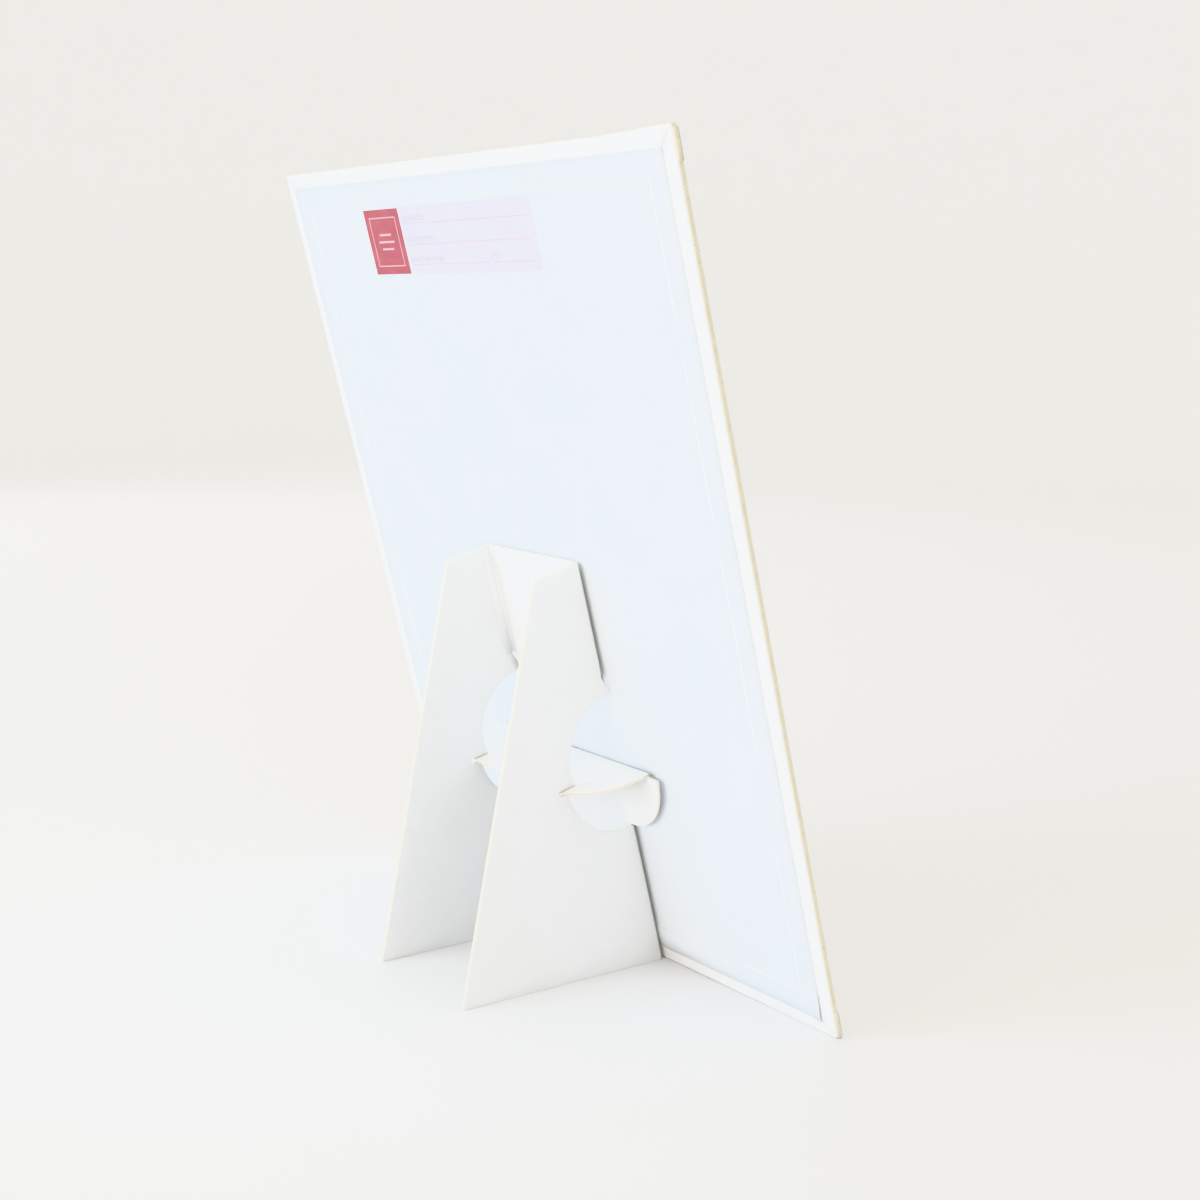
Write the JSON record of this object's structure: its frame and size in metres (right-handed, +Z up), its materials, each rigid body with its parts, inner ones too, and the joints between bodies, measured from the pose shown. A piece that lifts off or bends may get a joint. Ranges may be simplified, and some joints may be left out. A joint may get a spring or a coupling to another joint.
{
  "type": "artists' canvas panel on a cardboard easel back",
  "caption": "Upright canvas-covered picture panel that leans back on a folding cardboard easel with two hinged wings and a fold-out lock tab.",
  "frame": {"origin": "centre of the bounding box's bottom, on the surface that the object stands on", "axes": "+Z up, +Y towards the easel's wings behind the picture, +X across the picture"},
  "size_m": [0.2032, 0.0782, 0.2456],
  "materials": {
    "core_board": "grey-brown pressed board",
    "canvas": "primed woven canvas, matt",
    "backing_paper": "smooth bluish white paper, matt",
    "label_paper": "pale grey sticker with printed rules and a dull red block",
    "foam_tape": "white double-sided foam tape",
    "easel_card": "white lined cardboard, matt, with cut edges",
    "liner_paper": "white paper face of the card, creased"
  },
  "bodies": {
    "picture_panel": {"core_board": "core_board", "canvas": "canvas", "backing_paper": "backing_paper", "title_label": "label_paper", "upper_tape": "foam_tape", "lower_tape": "foam_tape", "upper_panel": "easel_card", "lower_panel": "easel_card", "crease_left": "liner_paper", "crease_right": "liner_paper", "crease_tab": "liner_paper"},
    "left_wing": {"wing_left": "easel_card"},
    "right_wing": {"wing_right": "easel_card"},
    "lock_tab": {"lock_tab": "easel_card"}
  },
  "joints": [
    {"name": "left_wing_fold", "type": "hinge", "parent": "picture_panel", "child": "left_wing", "pos_m": [-0.0235, -0.01775, 0.06422], "axis": [0, 0.2588, 0.9659], "range_deg": [0, 90], "deforming": ["crease_left"]},
    {"name": "right_wing_fold", "type": "hinge", "parent": "picture_panel", "child": "right_wing", "pos_m": [0.0235, -0.01775, 0.06422], "axis": [0, -0.2588, -0.9659], "range_deg": [0, 90], "deforming": ["crease_right"]},
    {"name": "lock_tab_fold", "type": "hinge", "parent": "picture_panel", "child": "lock_tab", "pos_m": [0, -0.01743, 0.06543], "axis": [1, 0, 0], "range_deg": [0, 90], "deforming": ["crease_tab"]}
  ]
}
